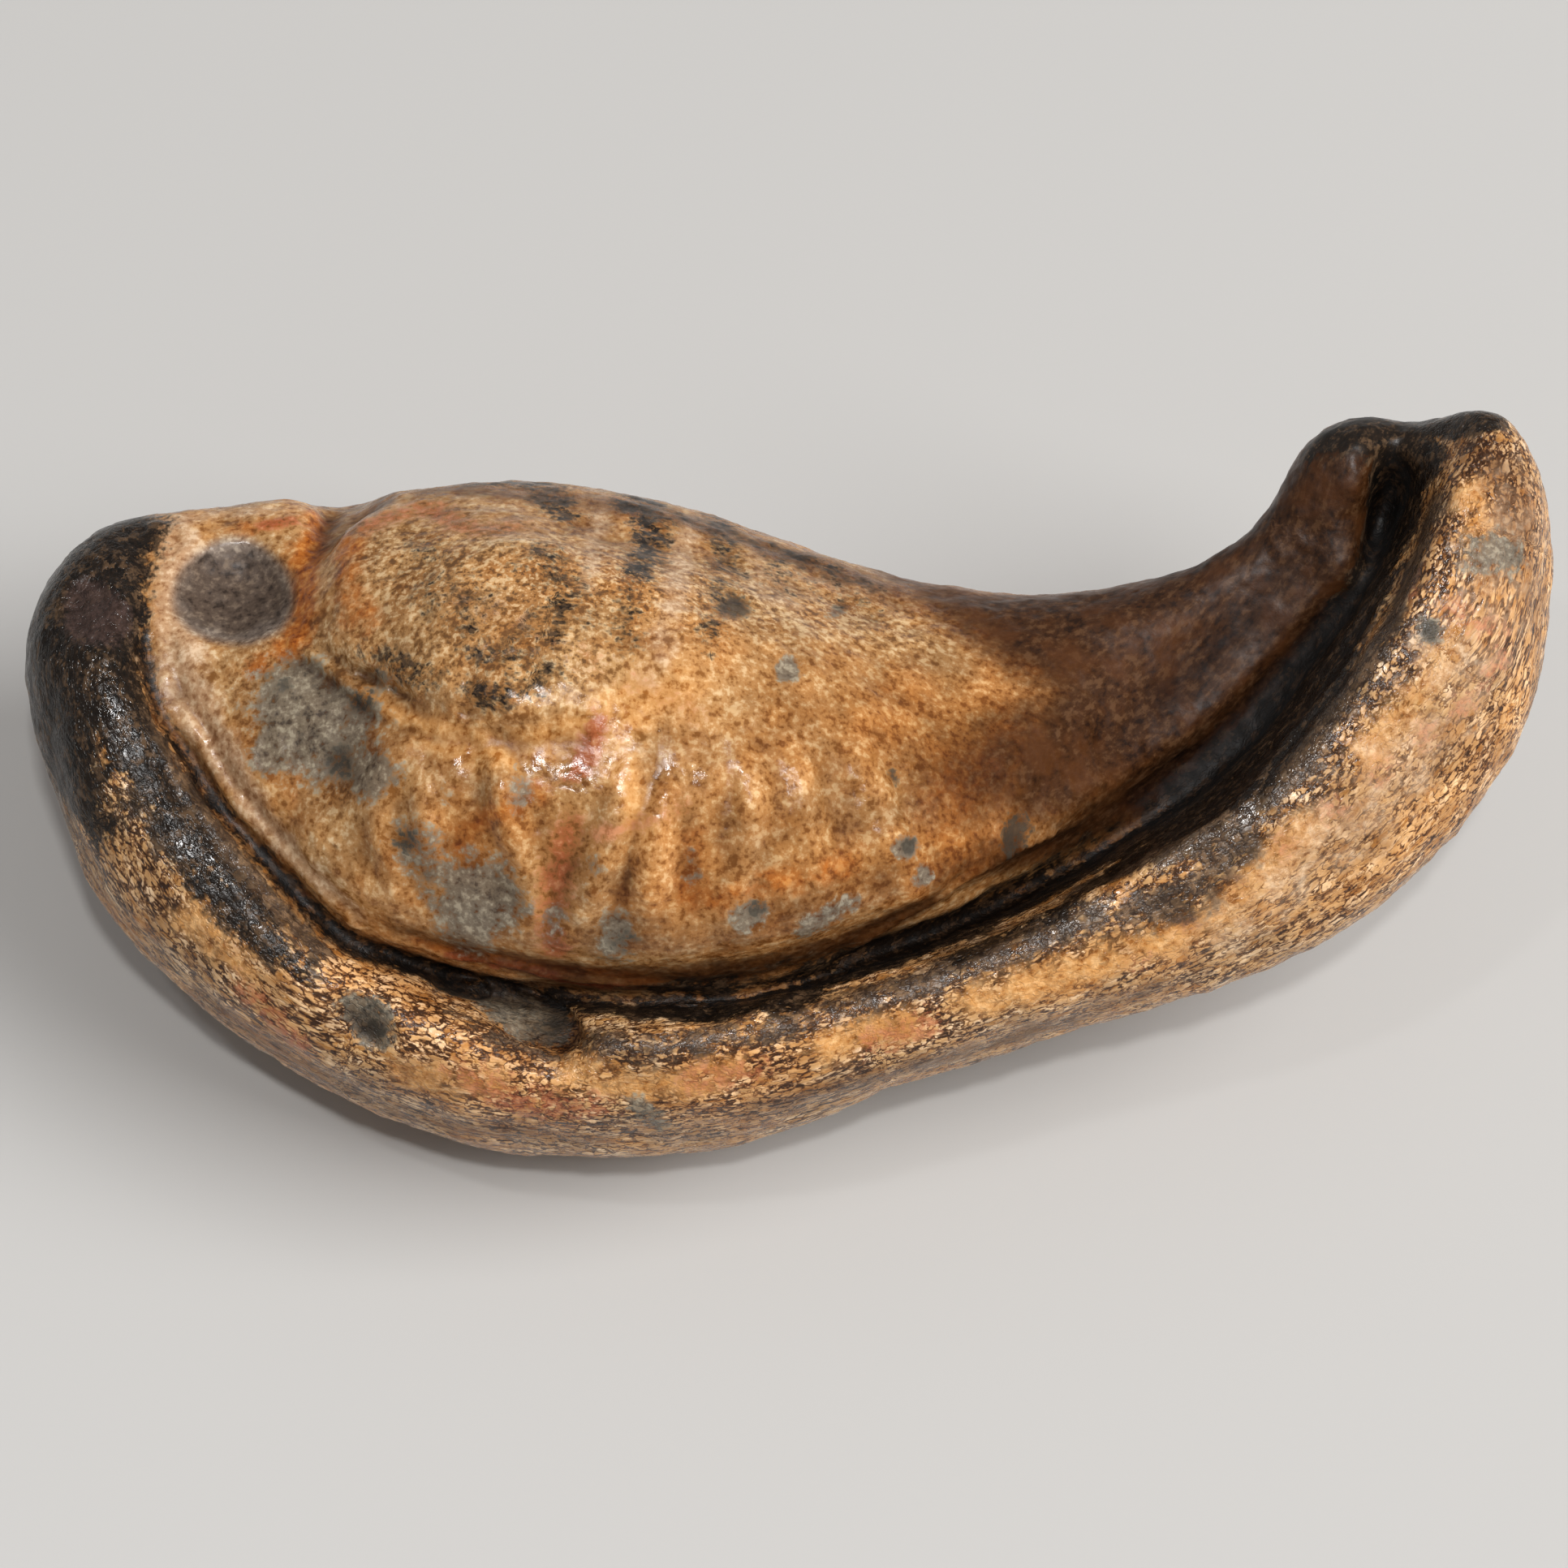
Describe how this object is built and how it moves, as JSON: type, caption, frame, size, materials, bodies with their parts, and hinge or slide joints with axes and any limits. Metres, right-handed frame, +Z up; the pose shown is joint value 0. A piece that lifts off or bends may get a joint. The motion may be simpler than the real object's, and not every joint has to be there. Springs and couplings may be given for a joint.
{
  "type": "fossil whale ear bone",
  "caption": "Worn fossil whale ear bone: a thick bean-shaped lump curved into a blunt horn, with a domed face behind a rolled lip and a deep groove between them.",
  "frame": {"origin": "centre of the box round the part, on the surface that it rests on", "axes": "+X along the length from the blunt end to the horn's tip, +Y away from the lip towards the crest, +Z up from the surface that it rests on; the domed face looks up and forward, towards -Y"},
  "size_m": [0.1036, 0.0476, 0.0374],
  "materials": {
    "fossil_bone": "polished mineralised bone, ochre to tan with cream and black specks, black stain in the groove and grey worn spots, satin with a waxy shine"
  },
  "bodies": {
    "root": {"ear_bone": "fossil_bone"}
  },
  "joints": []
}
